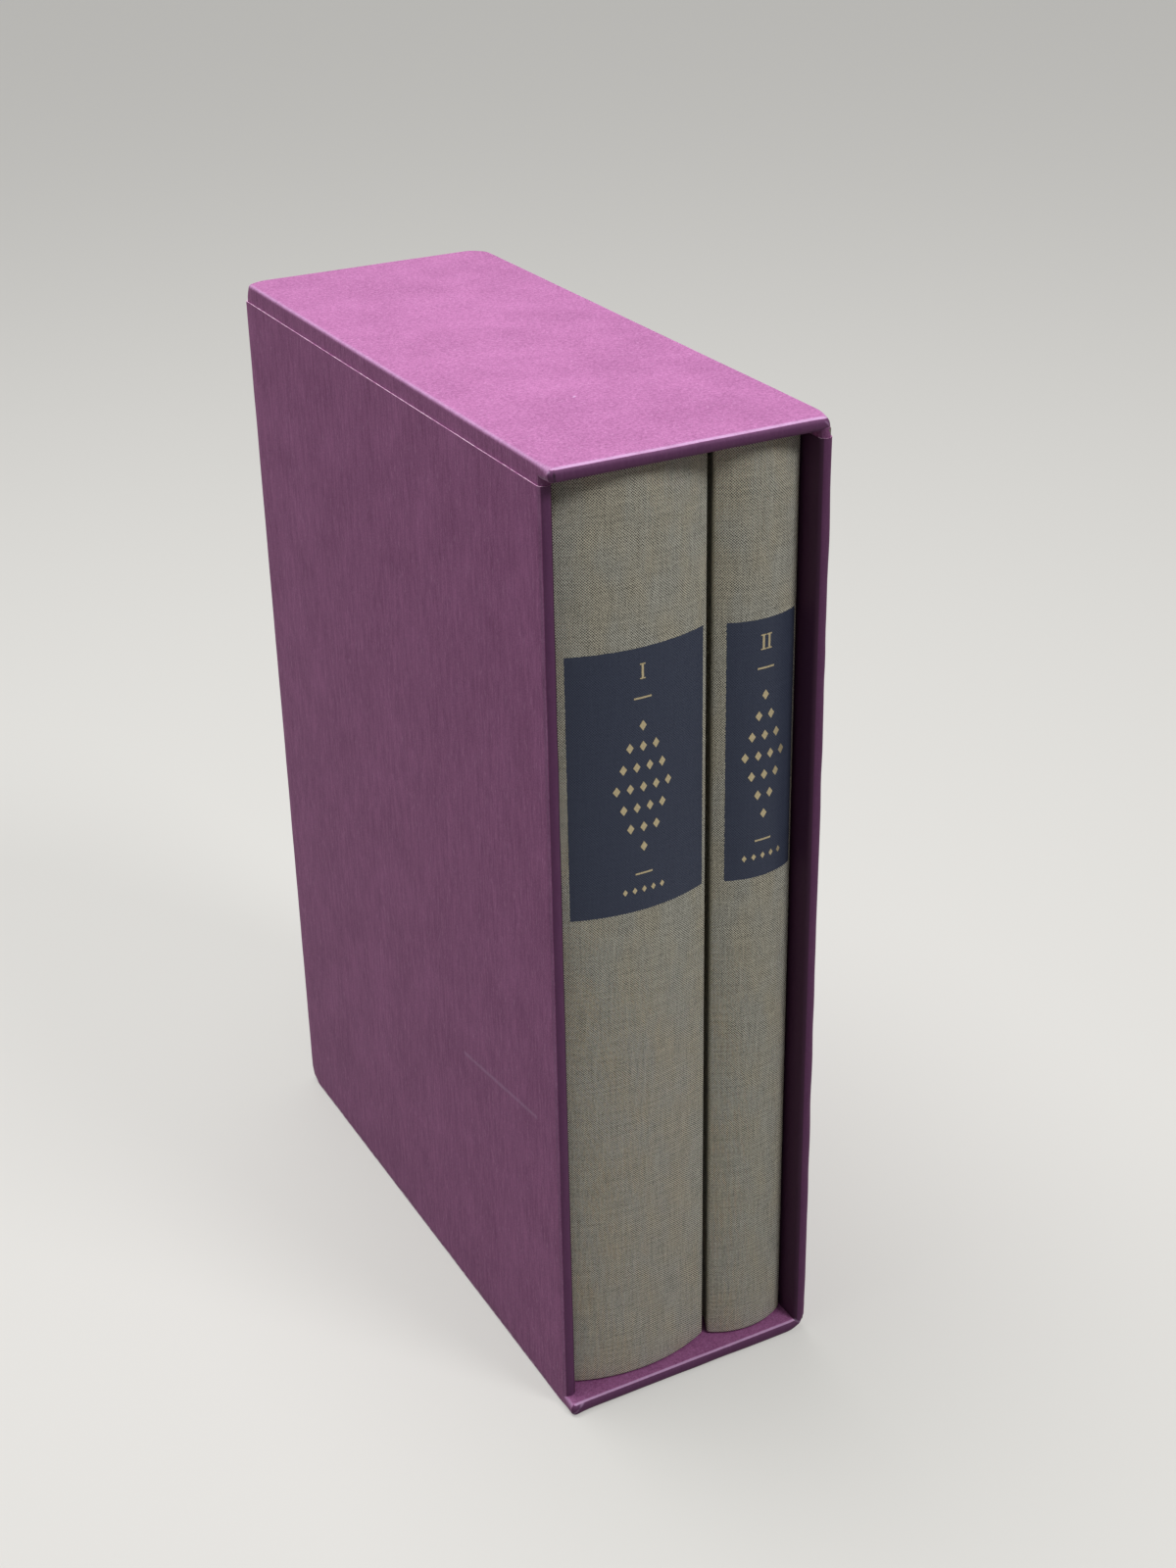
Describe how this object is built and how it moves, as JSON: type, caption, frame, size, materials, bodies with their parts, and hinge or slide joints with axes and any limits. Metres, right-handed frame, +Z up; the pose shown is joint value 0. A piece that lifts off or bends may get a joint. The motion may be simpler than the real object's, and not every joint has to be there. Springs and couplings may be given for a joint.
{
  "type": "book slipcase",
  "caption": "Open-fronted slipcase in plum paper over board, with two cloth-bound volumes of different thickness that slide out spine first.",
  "frame": {"origin": "middle of the underside of the case", "axes": "+Z up the standing case, -Y out of its mouth past the spines, +X to the right as the spines are read"},
  "size_m": [0.069, 0.1724, 0.248],
  "materials": {
    "greyboard": "uncoated grey board",
    "plum_paper": "matt, faintly fibrous",
    "lining_paper": "matt",
    "book_cloth": "coarse plain weave",
    "page_paper": "matt, cut edges",
    "endpaper": "matt",
    "gauze": "open weave",
    "kraft_paper": "matt",
    "manila_card": "matt",
    "band_silk": "corded"
  },
  "bodies": {
    "slipcase": {"slipcase_left_board": "greyboard", "slipcase_right_board": "greyboard", "slipcase_top_board": "greyboard", "slipcase_bottom_board": "greyboard", "slipcase_back_board": "greyboard", "slipcase_left_lining": "lining_paper", "slipcase_right_lining": "lining_paper", "slipcase_top_lining": "lining_paper", "slipcase_bottom_lining": "lining_paper", "slipcase_back_lining": "lining_paper", "slipcase_top_cover": "plum_paper", "slipcase_side_cover": "plum_paper", "slipcase_base_cover": "plum_paper"},
    "volume_1": {"volume_1_front_board": "greyboard", "volume_1_back_board": "greyboard", "volume_1_spine_stiffener": "manila_card", "volume_1_cover_cloth": "book_cloth", "volume_1_mull": "gauze", "volume_1_front_endpaper": "endpaper", "volume_1_back_endpaper": "endpaper", "volume_1_text_block": "page_paper", "volume_1_spine_lining": "kraft_paper", "volume_1_headband": "band_silk", "volume_1_tailband": "band_silk"},
    "volume_2": {"volume_2_front_board": "greyboard", "volume_2_back_board": "greyboard", "volume_2_spine_stiffener": "manila_card", "volume_2_cover_cloth": "book_cloth", "volume_2_mull": "gauze", "volume_2_front_endpaper": "endpaper", "volume_2_back_endpaper": "endpaper", "volume_2_text_block": "page_paper", "volume_2_spine_lining": "kraft_paper", "volume_2_headband": "band_silk", "volume_2_tailband": "band_silk"}
  },
  "joints": [
    {"name": "volume_1_slide", "type": "slide", "parent": "slipcase", "child": "volume_1", "axis": [0, -1, 0], "range_m": [0, 0.17]},
    {"name": "volume_2_slide", "type": "slide", "parent": "slipcase", "child": "volume_2", "axis": [0, -1, 0], "range_m": [0, 0.17]}
  ]
}
